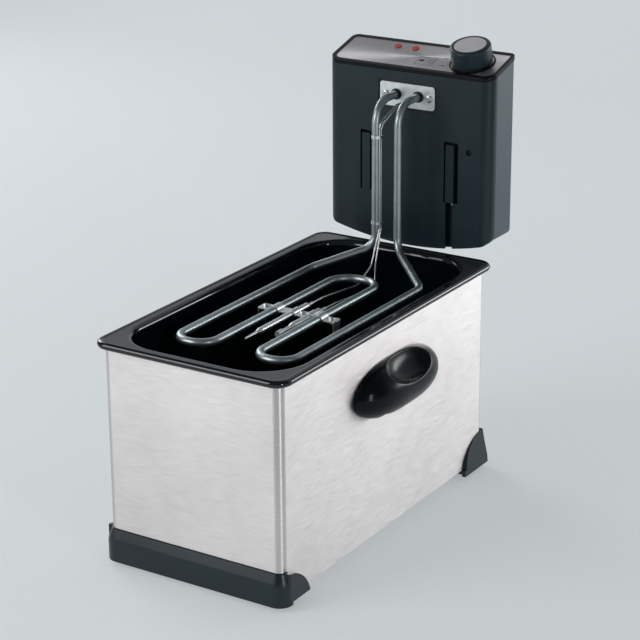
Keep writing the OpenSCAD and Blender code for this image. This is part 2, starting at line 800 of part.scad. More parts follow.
module limiter_body() color(cream_c) head_frame() translate([reset_x, 0, reset_z]) difference() {
    box = [19, 18, 18];
    box_y = 9.5;
    nose_y = 4.2;
    union() {
        translate([-box.x / 2, box_y, -box.z / 2]) cube(box);
        rotate([-90, 0, 0]) translate([0, 0, nose_y]) cylinder(h = box_y - nose_y + 1, r = 5);
    }
    rotate([-90, 0, 0]) cylinder(h = 18, r = reset_r + screw_fit);
}

module interlock_switch() color(gloss_c) head_frame()
    translate([hanger_x - 9, pocket_d + duct_wall + 0.4, guide_z + 2]) {
        box = [18, 6.5, 11];
        cube(box);
        for (k = [-1:1]) translate([box.x / 2 + 6 * k - 0.4, 2, box.z]) cube([0.8, 3, 4]);
    }

module terminal_block() color(cream_c) head_frame() translate([-36, 22, 58]) difference() {
    block = [48, 14, 16];
    cube(block);
    for (k = [-1:1]) translate([block.x / 2 + block.x / 3 * k, block.y / 2, block.z / 2])
        cylinder(h = block.z, r = 3.2);
}

module cord_gland() color(rubber_c) head_frame() translate([gland_x, 0, gland_z])
    rotate([-90, 0, 0]) difference() {
        inner_face = head_d - seam_step - shell_t;
        collar = 2;
        union() {
            translate([0, 0, inner_face - collar]) cylinder(h = shell_t + collar, r = gland_r - 0.1);
            translate([0, 0, inner_face - collar - 1.4]) cylinder(h = 3, r = gland_r + collar);
        }
        cylinder(h = reach, r = cord_r);
    }

// ---------- Heating element ----------

module element_flange() color(zinc_c) head_frame() translate([0, 0, flange_z]) difference() {
    along_y(-flange_proud, flange_plate.z - flange_proud)
        rounded_rect(flange_plate.x, flange_plate.y, flange_corner);
    for (s = [-1, 1]) {
        translate([s * leg_pitch / 2, 0, exit_z - flange_z]) rotate([90, 0, 0])
            cylinder(h = through, r = tube_r + screw_fit, center = true);
        translate([s * flange_screw_x, 0, 0]) rotate([90, 0, 0])
            cylinder(h = through, r = screw_bore_r, center = true);
    }
    translate([capillary_hole_x, 0, capillary_hole_z]) rotate([90, 0, 0])
        cylinder(h = through, r = capillary_hole_r, center = true);
}

module flange_screws() color(zinc_c) head_frame()
    for (s = [-1, 1]) translate([s * flange_screw_x, -flange_proud, flange_z])
        rotate([90, 0, 0]) rotate(20 * s) pan_screw(screw_r, 7, 3.7, 2.2);

module tube_ferrules() color(tube_c) head_frame()
    for (s = [-1, 1]) translate([s * leg_pitch / 2, -flange_proud, exit_z]) rotate([90, 0, 0])
        difference() {
            union() {
                cylinder(h = 1.6, r = tube_r + 1.6);
                cylinder(h = 3, r = tube_r + 0.8);
            }
            cylinder(h = through, r = tube_r + screw_fit, center = true);
        }

module heating_element() color(tube_c) head_frame()
    bent_tube(element_path, element_radii, tube_r, $fn = 32);

module element_terminals() color(brass_c) head_frame()
    for (s = [-1, 1]) translate([s * leg_pitch / 2, 12, exit_z]) rotate([-90, 0, 0]) {
        cylinder(h = 2.5, r = 3);
        cylinder(h = 9, r = 1.4);
        translate([-3, -0.5, 4]) cube([6, 1, 7]);
    }

clamped = [[-inner_pitch / 2, tube_r], [inner_pitch / 2, tube_r], bulb_a, bulb_b];

// Half of the clamp, seen along the tubes: flat strips with a saddle over each rod
module clamp_profile() difference() {
    union() {
        translate([-clamp_half, 0]) square([2 * clamp_half, clamp_t]);
        intersection() {
            union() for (c = clamped) translate([c[0], 0]) circle(c[1] + clamp_t);
            translate([-clamp_half, 0]) square([2 * clamp_half, clamp_half]);
        }
    }
    for (c = clamped) translate([c[0], 0]) circle(c[1] + 2 * eps);
}

module clamp_frame() head_frame() translate([0, clamp_y, coil_z]) children();

module clamp_holes() for (x = clamp_screw_xs) translate([x, 0, 0])
    cylinder(h = through, r = clamp_screw_r + screw_fit, center = true);

module clamp_upper() color(zinc_c) clamp_frame() difference() {
    along_y(-clamp_w / 2, clamp_w / 2) clamp_profile();
    clamp_holes();
}

module clamp_lower() color(zinc_c) clamp_frame() difference() {
    union() {
        mirror([0, 0, 1]) along_y(-clamp_w / 2, clamp_w / 2) clamp_profile();
        for (s = [-1, 1]) translate([s * (clamp_half - clamp_t / 2), 0, -clamp_foot_h / 2])
            cube([clamp_t, clamp_w, clamp_foot_h], center = true);
        for (s = [-1, 1]) translate([s * (clamp_half + clamp_toe / 2 - clamp_t), 0,
                clamp_t / 2 - clamp_foot_h])
            cube([clamp_toe, clamp_w, clamp_t], center = true);
    }
    clamp_holes();
}

module clamp_screws() color(zinc_c) clamp_frame()
    for (x = clamp_screw_xs) translate([x, 0, clamp_t]) rotate(17 * x) {
        pan_screw(clamp_screw_r, 5.5, 3, 1.8);
        translate([0, 0, -clamp_t * 2 - 1.8]) cylinder(h = 1.8, r = 2.9, $fn = 6);
    }

// Sections of the two sensor bulbs: start along the tubes, length, first and last radius
thermostat_bulb_parts = [[-82, 18, 0.9, 1.4], [-64, 6, 1.4, bulb_a[1]], [22, 4, bulb_a[1], 1.3]];
thermostat_bulb_rods = [[-58, 80, bulb_a[1]], [26, 6, 1.3]];
limiter_bulb_parts = [[-38, 6, 2, bulb_b[1]], [14, 4, bulb_b[1], 1.6]];
limiter_bulb_rods = [[-58, 8, 2.9], [-50, 12, 2], [-32, 46, bulb_b[1]], [18, 7, 1.6]];

// Sensor bulbs lie between the inner runs, held by the clamp
module sensor_bulb(across, cones, rods) clamp_frame() translate([across, 0, 0])
    rotate([-90, 0, 0]) {
        for (c = cones) translate([0, 0, c[0]]) cylinder(h = c[1], r1 = c[2], r2 = c[3]);
        for (c = rods) translate([0, 0, c[0]]) cylinder(h = c[1], r = c[2]);
    }

module thermostat_bulb() color(zinc_c)
    sensor_bulb(bulb_a[0], thermostat_bulb_parts, thermostat_bulb_rods);
module limiter_bulb() color(zinc_c)
    sensor_bulb(bulb_b[0], limiter_bulb_parts, limiter_bulb_rods);

leg_side = -leg_pitch / 2;
leg_gap = tube_r + capillary_r + 0.2;            // from the leg's middle to a capillary's

// Thin copper line from a bulb, back under the middle loop, up beside the left leg and into the
// head. The line in the front lane turns higher than the other, so they don't touch.
module capillary(start, lane) {
    x_leg = leg_side + leg_gap;
    y_leg = -leg_reach + lane;
    hole = [capillary_hole_x + lane * 0.86, 8, flange_z + capillary_hole_z];
    bent_tube([start, start + [0, 18, 0], [start.x - 2, coil_back + 4, coil_z - 8],
        [x_leg, y_leg - 13 + lane * 2.1, coil_z + 4], [x_leg, y_leg, 26],
        [x_leg, y_leg, 132.5 - lane * 1.5], [hole.x, -16, hole.z], hole],
        [0, 9, 12, 9, 14, 10, 7, 0], capillary_r, $fn = 16);
}

module thermostat_capillary() color(brass_c) head_frame()
    capillary([bulb_a[0], clamp_y + 32, coil_z], -capillary_lane);
module limiter_capillary() color(brass_c) head_frame()
    capillary([bulb_b[0], clamp_y + 25, coil_z], capillary_lane);

module capillary_clips() color(zinc_c) head_frame()
    for (z = clip_zs) translate([leg_side, -leg_reach, z]) difference() {
        union() {
            cylinder(h = 3, r = tube_r + 0.7);
            translate([0, -3, 0]) cube([leg_gap + 1.6, 6, 3]);
        }
        translate([0, 0, -1]) cylinder(h = 5, r = tube_r + 0.03);
        for (lane = [-capillary_lane, capillary_lane])
            translate([leg_gap, lane, -1]) cylinder(h = 5, r = capillary_r + 0.03);
    }

// ---------- Controls that move ----------

module control_knob() color(front_c) panel_place() translate([knob_x, knob_v, knob_seat])
    difference() {
        edge_r = 3;
        rotate_extrude() {
            square([knob_d / 2, knob_h - edge_r]);
            square([knob_d / 2 - edge_r, knob_h]);
            translate([knob_d / 2 - edge_r, knob_h - edge_r]) circle(edge_r);
        }
        translate([0, 0, knob_h - cap_sink]) cylinder(h = knob_h, r = knob_d / 2 - cap_margin);
        translate([0, 0, -1]) cylinder(h = knob_bore + 1, r = spindle_r + 2 * eps);
        // Hollow underside
        translate([0, 0, -1]) difference() {
            cylinder(h = knob_bore, r = knob_d / 2 - shell_t);
            cylinder(h = reach, r = hub_r, center = true);
        }
    }

module knob_cap() color(steel_c) panel_place() translate([knob_x, knob_v, knob_seat])
    translate([0, 0, knob_h - cap_sink + 0.05]) {
        cylinder(h = 0.9, r = knob_d / 2 - cap_margin - 0.1);
        // Raised mark
        translate([0, knob_d / 2 - 7.5, 0]) cylinder(h = 1.1, r = 1);
    }

module knob_spindle() color(zinc_c) panel_place() translate([knob_x, knob_v, -spindle_l])
    cylinder(h = knob_seat + knob_bore - 1 + spindle_l, r = spindle_r);

module reset_button() color(gloss_c) head_frame()
    translate([reset_x, 1.6, reset_z]) rotate([-90, 0, 0]) {
        chamfer = 0.5;
        cylinder(h = 13, r = reset_r);
        translate([0, 0, -chamfer]) cylinder(h = chamfer, r1 = reset_r - chamfer, r2 = reset_r);
    }

module interlock_pin() color(cream_c) head_frame()
    translate([pin_x, tongue_y + tongue_t / 2, guide_z - pin_drop]) {
        tip = 0.6;
        cylinder(h = pin_l, r = pin_r);
        translate([0, 0, -tip]) cylinder(h = tip, r1 = pin_r - tip, r2 = pin_r);
    }

housing_shell();
base_plate();
front_foot_bar();
rear_foot_left();
rear_foot_right();
rubber_feet();
foot_screws();
side_handle_left();
side_handle_right();
handle_screws();
hanger_left();
hanger_right();
hanger_rivets();
oil_pot();
head_front_shell();
head_rear_shell();
casing_screws();
panel_frame();
panel_plate();
indicator_lamps();
knob_ring();
thermostat_body();
limiter_body();
interlock_switch();
terminal_block();
cord_gland();
element_flange();
flange_screws();
tube_ferrules();
heating_element();
element_terminals();
clamp_upper();
clamp_lower();
clamp_screws();
thermostat_bulb();
thermostat_capillary();
limiter_bulb();
limiter_capillary();
capillary_clips();
control_knob();
knob_cap();
knob_spindle();
reset_button();
interlock_pin();
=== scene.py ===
# %% [markdown]
# # A lift-out electric deep fryer, dressed for a studio picture
# The CAD model gives every part its true size and place. This notebook adds what a
# camera sees: brushed steel, glossy enamel, moulded plastic, soft edges that catch the
# light, real screw heads and the printing on the control panel.
# Everything is in metres, +Z is up and the control head is at the back, towards +Y.

# %% Load the frame
import bpy
import bmesh
import math
import json
from mathutils import Matrix, Vector

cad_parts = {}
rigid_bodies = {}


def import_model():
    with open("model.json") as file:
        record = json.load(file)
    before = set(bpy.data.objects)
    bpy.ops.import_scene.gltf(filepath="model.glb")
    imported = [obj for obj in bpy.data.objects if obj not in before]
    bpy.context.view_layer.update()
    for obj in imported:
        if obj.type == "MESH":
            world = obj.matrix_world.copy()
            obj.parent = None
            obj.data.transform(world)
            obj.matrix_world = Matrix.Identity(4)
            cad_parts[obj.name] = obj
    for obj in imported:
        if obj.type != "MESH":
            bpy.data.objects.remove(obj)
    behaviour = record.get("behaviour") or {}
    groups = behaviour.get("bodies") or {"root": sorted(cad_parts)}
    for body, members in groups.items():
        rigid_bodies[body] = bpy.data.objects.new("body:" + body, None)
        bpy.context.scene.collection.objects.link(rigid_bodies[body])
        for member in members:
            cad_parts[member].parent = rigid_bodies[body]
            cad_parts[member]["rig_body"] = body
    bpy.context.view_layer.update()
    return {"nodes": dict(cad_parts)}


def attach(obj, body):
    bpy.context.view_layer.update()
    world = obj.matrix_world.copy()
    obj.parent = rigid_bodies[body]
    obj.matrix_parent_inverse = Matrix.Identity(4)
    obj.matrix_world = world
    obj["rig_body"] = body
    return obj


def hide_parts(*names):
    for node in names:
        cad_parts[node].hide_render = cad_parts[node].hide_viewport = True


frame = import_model()
nodes = frame["nodes"]
MM = 0.001


# %% [markdown]
# ## Two small tools for node trees
# Shader trees and Geometry Nodes trees are both made of nodes with settings and links.
# One function is enough for both: it adds a node, sets its properties, and gives each
# input either a plain value or a link from another node's output.
# Colours are written as sRGB hex values, the way a paint chart lists them, and turned
# to the linear values that Blender calculates with.

# %% Tools for nodes and colours
def put(tree, kind, inputs=None, **settings):
    made = tree.nodes.new(kind)
    for name, value in settings.items():
        setattr(made, name, value)
    for name, value in (inputs or {}).items():
        if isinstance(value, bpy.types.NodeSocket):
            tree.links.new(value, made.inputs[name])
        else:
            made.inputs[name].default_value = value
    return made


def linear(hex_value):
    channels = [int(hex_value[i:i + 2], 16) / 255 for i in (0, 2, 4)]
    return tuple(c / 12.92 if c <= 0.04045 else ((c + 0.055) / 1.055) ** 2.4
                 for c in channels) + (1.0,)


def new_material(name):
    """An empty node material: its tree, its shader and object coordinates."""
    material = bpy.data.materials.new(name)
    material.use_nodes = True
    tree = material.node_tree
    shader = tree.nodes["Principled BSDF"]
    place = put(tree, "ShaderNodeTexCoord").outputs["Object"]
    return material, tree, shader, place


def link_object(name, data):
    made = bpy.data.objects.new(name, data)
    bpy.context.scene.collection.objects.link(made)
    return made


print("tools ready; mid grey 808080 is", round(linear("808080")[0], 3), "in linear light")

# %% [markdown]
# ## Finish: brushed stainless steel
# The housing is folded from 1 mm stainless sheet, brushed along the coil before it was
# folded, so the grain runs level all the way round. The belt leaves short hair-thin
# scratches that are finer than a pixel here, so they are drawn 0.8 mm apart. Anisotropy
# smears each reflection across the grain, up and down, and keeps it sharp along it, so
# a lamp shows in the sheet as a tall soft band.

# %% Brushed stainless steel
# Blender's noise seldom leaves this middle range, so patterns are read between these
PATTERN_LOW, PATTERN_HIGH = 0.35, 0.65


def noise(tree, place, scale, detail):
    return put(tree, "ShaderNodeTexNoise", {"Vector": place, "Scale": scale,
                                            "Detail": detail}).outputs["Fac"]


def streaks(tree, place, along, across):
    """Noise in level lines: `along` and `across` are their length and spacing in mm."""
    scale = tuple(1000 / size for size in (along, along, across))
    stretched = put(tree, "ShaderNodeMapping", {"Vector": place, "Scale": scale})
    return put(tree, "ShaderNodeTexNoise",
               {"Vector": stretched.outputs["Vector"], "Scale": 1.0, "Detail": 3.0,
                "Roughness": 0.6}).outputs["Fac"]


def between(tree, factor, low, high):
    """Turns a 0..1 pattern into a number that runs from low to high."""
    return put(tree, "ShaderNodeMapRange",
               {"Value": factor, "From Min": PATTERN_LOW, "From Max": PATTERN_HIGH,
                "To Min": low, "To Max": high}).outputs["Result"]


def blend_colours(tree, factor, first, second):
    ramp = put(tree, "ShaderNodeValToRGB", {"Fac": factor})
    ramp.color_ramp.elements[0].position = PATTERN_LOW
    ramp.color_ramp.elements[1].position = PATTERN_HIGH
    ramp.color_ramp.elements[0].color = linear(first)
    ramp.color_ramp.elements[1].color = linear(second)
    return ramp.outputs["Color"]


def bump(tree, height, depth_mm):
    return put(tree, "ShaderNodeBump", {"Height": height, "Distance": depth_mm * MM,
                                        "Strength": 1.0}).outputs["Normal"]


def brushed_sheet(name, dark, light, rough, along_mm, across_mm, depth_mm, axis):
    material, tree, shader, place = new_material(name)
    grain = streaks(tree, place, along_mm, across_mm)
    clouds = noise(tree, place, 9.0, 2.0)
    tone = put(tree, "ShaderNodeMath", {0: grain, 1: clouds}, operation="ADD")
    tone = put(tree, "ShaderNodeMath", {0: tone.outputs[0], 1: 0.5}, operation="MULTIPLY")
    tree.links.new(blend_colours(tree, tone.outputs[0], dark, light),
                   shader.inputs["Base Color"])
    tree.links.new(between(tree, grain, rough - 0.03, rough + 0.03),
                   shader.inputs["Roughness"])
    tree.links.new(bump(tree, grain, depth_mm), shader.inputs["Normal"])
    shader.inputs["Metallic"].default_value = 1.0
    shader.inputs["Anisotropic"].default_value = 0.8
    shader.inputs["Anisotropic Rotation"].default_value = 0.25
    around = put(tree, "ShaderNodeTangent", direction_type="RADIAL", axis=axis)
    tree.links.new(around.outputs["Tangent"], shader.inputs["Tangent"])
    return material


brushed = brushed_sheet("brushed_stainless_304", "D2CDCC", "E3DFDE", 0.36, 18, 0.8,
                        0.012, "Z")
plate_steel = brushed_sheet("brushed_aluminium_plate", "C2BBBD", "D2CCCE", 0.34, 12, 0.6,
                            0.006, "Z")
print("brushed steel: scratches 18 mm long, drawn 0.8 mm apart")

# %% [markdown]
# ## Finish: vitreous enamel
# The pot is pressed steel dipped in black glass enamel and fired. The glass is very
# smooth and mirror-like, with a faint waviness like orange peel, so the material is a
# plain black dielectric with low roughness and a shallow, wide bump.

# %% Black enamel
enamel, tree, shader, place = new_material("black_vitreous_enamel")
peel = noise(tree, place, 160.0, 1.0)
wave = noise(tree, place, 22.0, 2.0)
tree.links.new(blend_colours(tree, wave, "03090C", "071014"),
               shader.inputs["Base Color"])
tree.links.new(between(tree, wave, 0.06, 0.13), shader.inputs["Roughness"])
tree.links.new(bump(tree, peel, 0.03), shader.inputs["Normal"])
shader.inputs["IOR"].default_value = 1.52
print("enamel: orange peel about 6 mm across")

# %% [markdown]
# ## Finish: moulded plastics
# Three moulds, three surfaces. The handles and the panel's frame are polished ABS. The
# head's shells are black polypropylene from a spark-eroded mould, which leaves a fine
# satin grit. The foot bar lies between the two. They share one recipe: a nearly black
# colour, a grit bump at the size of the mould's texture, and their own roughness.

# %% Moulded plastics
def moulded(name, dark, light, rough, grit_mm, depth_mm, spread=0.05, gloss=0.5):
    material, tree, shader, place = new_material(name)
    grit = noise(tree, place, 1000 / grit_mm, 2.0)
    flow = noise(tree, place, 14.0, 2.0)
    tree.links.new(blend_colours(tree, flow, dark, light), shader.inputs["Base Color"])
    tree.links.new(between(tree, flow, rough - spread, rough + spread),
                   shader.inputs["Roughness"])
    tree.links.new(bump(tree, grit, depth_mm), shader.inputs["Normal"])
    shader.inputs["Specular IOR Level"].default_value = gloss
    return material


polished_black = moulded("polished_black_abs", "03070A", "060B0F", 0.22, 3.0, 0.002,
                         0.02, 0.16)
satin_black = moulded("spark_eroded_black_polypropylene", "0E1E25", "13262D", 0.42, 0.9, 0.02,
                      0.05, 0.3)
# The rear shell is the same black plastic drawn lighter and blue-grey: a painted sheen
lightened_black_painted_sheen = moulded("spark_eroded_black_polypropylene_painted_sheen", "35444C", "3C4C54", 0.46, 0.9, 0.02,
                     0.05, 0.4)
foot_black = moulded("semi_gloss_black_polypropylene", "08171E", "0C1D25", 0.3, 1.2, 0.008,
                     0.03, 0.45)
rubber = moulded("black_silicone_rubber_and_recess_painted_shade", "0A0B0C", "121314", 0.62, 1.0, 0.03)
cream = moulded("cream_thermoset_plastic", "D8D2BE", "E2DCC8", 0.5, 1.0, 0.01)
red_plastic = moulded("red_polycarbonate", "8E1410", "A01A14", 0.25, 2.0, 0.01)
ink = moulded("black_screen_ink", "0C0E10", "121417", 0.5, 1.0, 0.002, 0.05, 0.3)
print("plastics: polished, satin black, slate, semi-gloss, rubber, cream, red, ink")

# %% [markdown]
# ## Finish: bare metals
# The heating tube is drawn stainless that has been through the fire a few times, a
# little darker and duller than new. Screws, clamp and flange are zinc-plated or bright
# rolled steel with a soft mottled plating, and the capillaries are thin copper alloy.
# All are metals, so the colour is the colour of the reflection.

# %% Bare metals
def bare_metal(name, dark, light, rough, mottle_mm, spread=0.07, depth_mm=0.01):
    material, tree, shader, place = new_material(name)
    mottle = noise(tree, place, 1000 / mottle_mm, 4.0)
    tree.links.new(blend_colours(tree, mottle, dark, light), shader.inputs["Base Color"])
    tree.links.new(between(tree, mottle, rough - spread, rough + spread),
                   shader.inputs["Roughness"])
    tree.links.new(bump(tree, mottle, depth_mm), shader.inputs["Normal"])
    shader.inputs["Metallic"].default_value = 1.0
    return material


tube_metal = bare_metal("drawn_stainless_tube", "939DA0", "A1ABAE", 0.41, 14.0, 0.02, 0.0006)
bright_metal = bare_metal("bright_rolled_steel", "C6CBCC", "D2D7D7", 0.4, 6.0, 0.03, 0.001)
plated_metal = bare_metal("zinc_plated_steel", "BCC2C2", "D2D7D6", 0.32, 2.5, 0.04, 0.005)
copper_metal = bare_metal("nickel_plated_copper", "B9BDBB", "C8CCCA", 0.32, 6.0, 0.03, 0.0006)
brass_metal = bare_metal("brass", "B08D4A", "CBA860", 0.3, 3.0)
cap_metal = bare_metal("spun_aluminium", "CBC3C6", "D6CFD2", 0.3, 9.0, 0.02, 0.002)
# A dark metal for the tube ferrules: painted shade for the dark rings where the tubes enter
# the flange
ferrule_shade_metal = bare_metal("ferrule_painted_shade", "343B3D", "444B4D", 0.45, 3.0)
print("metals: tube, bright, plated, copper, brass, spun aluminium, ferrule painted shade")

# %% [markdown]
# ## Soft edges
# CAD edges are razor sharp, and real ones never are: sheet steel is deburred, plastic
# comes from a mould with small radii. Those radii catch thin lines of light that tell
# the eye what it is looking at. A CAD mesh is loose triangles and mustn't be changed, so
# each part is copied, its triangles are merged, flat areas are made whole again and a
# bevel rounds what is still sharp. The copy then stands in for the CAD part.

# %% Soft-edged copies
SHARP_DEGREES = 32
FOLD_RADIUS, FOLD_STEPS = 5, 6


def joined_copy(node_name):
    mesh = nodes[node_name].data.copy()
    work = bmesh.new()
    work.from_mesh(mesh)
    bmesh.ops.remove_doubles(work, verts=work.verts, dist=0.002 * MM)
    bmesh.ops.dissolve_limit(work, angle_limit=math.radians(0.5), verts=work.verts,
                             edges=work.edges)
    work.to_mesh(mesh)
    work.free()
    mesh.materials.clear()
    return mesh


def plain_mesh(piece):
    """Bakes a piece's modifiers into its mesh and removes them."""
    ready = piece.evaluated_get(bpy.context.evaluated_depsgraph_get())
    mesh = bpy.data.meshes.new_from_object(ready)
    piece.modifiers.clear()
    piece.data = mesh


def place_piece(name, mesh, material):
    mesh.materials.append(material)
    mesh.shade_smooth()
    return link_object(name, mesh)


def hand_over(piece, body, replaced):
    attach(piece, body)
    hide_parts(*replaced)


def mark_fold(mesh, height_mm):
    """Marks the level edges at this height, for a bevel of their own."""
    weights = mesh.attributes.new("bevel_weight_edge", "FLOAT", "EDGE")
    for edge in mesh.edges:
        level = all(abs(mesh.vertices[v].co.z / MM - height_mm) < 0.1
                    for v in edge.vertices)
        weights.data[edge.index].value = 1.0 if level else 0.0


def soften(node_name, radius_mm, material, suffix, segments=2, fold_z=None):
    piece = place_piece(node_name + suffix, joined_copy(node_name), material)
    if fold_z is not None:
        mark_fold(piece.data, fold_z)
        fold = piece.modifiers.new("rounded fold", "BEVEL")
        fold.limit_method = "WEIGHT"
        fold.width, fold.segments = FOLD_RADIUS * MM, FOLD_STEPS
    rounding = piece.modifiers.new("rounding", "BEVEL")
    rounding.width = radius_mm * MM
    rounding.segments = segments
    rounding.limit_method = "ANGLE"
    rounding.angle_limit = math.radians(SHARP_DEGREES)
    rounding.harden_normals = True
    rounding.miter_outer = "MITER_ARC"
    shading = piece.modifiers.new("shading", "WEIGHTED_NORMAL")
    shading.keep_sharp = True
    plain_mesh(piece)
    hand_over(piece, nodes[node_name]["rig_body"], [node_name])
    print(f"{piece.name}: edges {radius_mm} mm, {len(piece.data.polygons)} faces")
    return piece


def refinish(node_name, material):
    """The CAD part stays as it is and gets a finish."""
    node = nodes[node_name]
    node.data.materials.clear()
    node.data.materials.append(material)


print("edge tools ready")

# %% [markdown]
# ## The housing and what carries it
# The steel shell keeps its CAD mesh: its corners are true folds already and its edges
# hide under the pot's rim and behind the feet. The foot bar and the corner feet are
# thick mouldings whose rounded edges show, so they are softened.

# %% Housing, base and feet
FOOT_BAR_FOLD_Z = 25.7
refinish("housing_shell", brushed)
refinish("base_plate", plated_metal)
refinish("rubber_feet", rubber)
soften("front_foot_bar", 0.9, foot_black, "_moulded", 3,
       fold_z=FOOT_BAR_FOLD_Z)
for side in ("left", "right"):
    soften("rear_foot_" + side, 0.8, foot_black, "_moulded", 3)
    soften("hanger_" + side, 0.3, plated_metal, "_pressed")

# %% [markdown]
# ## Screws and rivets
# A fryer has dozens of fasteners, and they come in two kinds: pan-head screws with a
# cross recess and plain domed rivets. Geometry Nodes suit them, because one small tree
# with a few sizes can make them all. The input mesh is a list of points, and each point
# carries the direction its screw faces. The tree builds a head and a shank once, cuts
# the cross with a boolean, sets one on every point, and makes the result real geometry.

# %% A tree that sets a fastener on every point
FASTENER_SIZES = ("Head radius", "Head height", "Shank radius", "Shank length")


def geometry_tree(name, labels):
    """An empty tree: geometry in, geometry out and one number for each label."""
    tree = bpy.data.node_groups.new(name, "GeometryNodeTree")
    face = tree.interface
    face.new_socket("Geometry", in_out="INPUT", socket_type="NodeSocketGeometry")
    face.new_socket("Geometry", in_out="OUTPUT", socket_type="NodeSocketGeometry")
    for label in labels:
        face.new_socket(label, in_out="INPUT", socket_type="NodeSocketFloat")
    return tree, put(tree, "NodeGroupInput").outputs


def close_tree(tree, geometry, material):
    done = put(tree, "GeometryNodeSetMaterial", {"Geometry": geometry,
                                                 "Material": material})
    put(tree, "NodeGroupOutput", {"Geometry": done.outputs["Geometry"]})
    return tree


def attribute(tree, name, kind="FLOAT"):
    return put(tree, "GeometryNodeInputNamedAttribute", {"Name": name},
               data_type=kind).outputs["Attribute"]


def set_on_points(tree, points, shape, euler, **extra):
    """Sets a copy of the shape on every point and makes the copies real."""
    turned_by = put(tree, "FunctionNodeEulerToRotation", {"Euler": euler}).outputs[0]
    placed = put(tree, "GeometryNodeInstanceOnPoints",
                 {"Points": points, "Instance": shape, "Rotation": turned_by, **extra})
    return put(tree, "GeometryNodeRealizeInstances",
               {"Geometry": placed.outputs["Instances"]}).outputs["Geometry"]


def maths(tree, operation, first, second):
    return put(tree, "ShaderNodeMath", {0: first, 1: second}, operation=operation).outputs[0]


def raise_face(tree, mesh, top, height, shrink):
    """One step of a turned head: pulls the top face up and draws it in."""
    pulled = put(tree, "GeometryNodeExtrudeMesh", {"Mesh": mesh, "Offset": (0, 0, 1),
                 "Offset Scale": height}, mode="FACES")
    if top is not None:
        tree.links.new(top, pulled.inputs["Selection"])
    drawn = put(tree, "GeometryNodeScaleElements", {"Geometry": pulled.outputs["Mesh"],
                "Selection": pulled.outputs["Top"], "Scale": shrink})
    return drawn.outputs["Geometry"], pulled.outputs["Top"]


def fastener_tree(name, material, crossed, sides=24):
    tree, given = geometry_tree(name, FASTENER_SIZES)
    radius, height = given["Head radius"], given["Head height"]
    disc = put(tree, "GeometryNodeMeshCircle", {"Vertices": sides, "Radius": radius},
               fill_type="NGON").outputs["Mesh"]
    head, top = disc, None
    for share, shrink in ((0.45, 1.0), (0.3, 0.88), (0.17, 0.78), (0.08, 0.6)):
        head, top = raise_face(tree, head, top, maths(tree, "MULTIPLY", height, share), shrink)
    under = put(tree, "GeometryNodeFlipFaces", {"Mesh": disc}).outputs["Mesh"]
    both = put(tree, "GeometryNodeJoinGeometry")
    tree.links.new(head, both.inputs[0])
    tree.links.new(under, both.inputs[0])
    solid = put(tree, "GeometryNodeMergeByDistance", {"Geometry": both.outputs[0],
                "Distance": 0.005 * MM}).outputs["Geometry"]
    if crossed:
        cut = put(tree, "GeometryNodeMeshBoolean", {"Mesh 1": solid}, operation="DIFFERENCE")
        for turn in (0.0, math.pi / 2):
            slot_size = put(tree, "ShaderNodeCombineXYZ",
                            {"X": maths(tree, "MULTIPLY", radius, 1.1),
                             "Y": maths(tree, "MULTIPLY", radius, 0.26), "Z": height})
            bar = put(tree, "GeometryNodeMeshCube", {"Size": slot_size.outputs[0]})
            lift = put(tree, "ShaderNodeCombineXYZ", {"Z": height})
            bar = put(tree, "GeometryNodeTransform",
                      {"Geometry": bar.outputs["Mesh"], "Translation": lift.outputs[0],
                       "Rotation": (0, 0, turn)})
            tree.links.new(bar.outputs["Geometry"], cut.inputs["Mesh 2"])
        solid = cut.outputs["Mesh"]
    shank = put(tree, "GeometryNodeMeshCylinder", {"Vertices": 16,
                "Radius": given["Shank radius"], "Depth": given["Shank length"]})
    sink = put(tree, "ShaderNodeCombineXYZ",
               {"Z": maths(tree, "MULTIPLY", given["Shank length"], -0.5)})
    shank = put(tree, "GeometryNodeTransform", {"Geometry": shank.outputs["Mesh"],
                "Translation": sink.outputs[0]})
    whole = put(tree, "GeometryNodeJoinGeometry")
    tree.links.new(solid, whole.inputs[0])
    tree.links.new(shank.outputs["Geometry"], whole.inputs[0])
    made = set_on_points(tree, given["Geometry"], whole.outputs[0],
                         attribute(tree, "facing", "FLOAT_VECTOR"))
    return close_tree(tree, made, material)


def socket_id(tree, label):
    return next(item.identifier for item in tree.interface.items_tree
                if item.name == label and item.in_out == "INPUT")


def run_tree(name, mesh, tree, sizes_mm):
    """Makes an object of the mesh and bakes what the tree builds on it."""
    piece = link_object(name, mesh)
    runner = piece.modifiers.new("runner", "NODES")
    runner.node_group = tree
    for label, size in sizes_mm.items():
        runner[socket_id(tree, label)] = size * MM
    plain_mesh(piece)
    return piece


screw_tree = fastener_tree("pan_head_screws", plated_metal, crossed=True)
rivet_tree = fastener_tree("domed_rivets", plated_metal, crossed=False)
nut_tree = fastener_tree("hexagon_nuts", plated_metal, crossed=False, sides=6)
print("fastener trees:", len(screw_tree.nodes), "and", len(rivet_tree.nodes), "nodes")

# %% [markdown]
# ## Where the fasteners go
# Each row below is a group that the CAD has as one node. The places are read from the
# same drawing sizes as the CAD, in millimetres, and every screw is turned by a different
# angle about its own axis, as hand-driven screws are.

# %% Fasteners on the head, the clamp and the hangers
FACE_Y, HEAD_Z, HEAD_D = 167.2, 221.0, 52.8
STEEL_BACK = 158.5


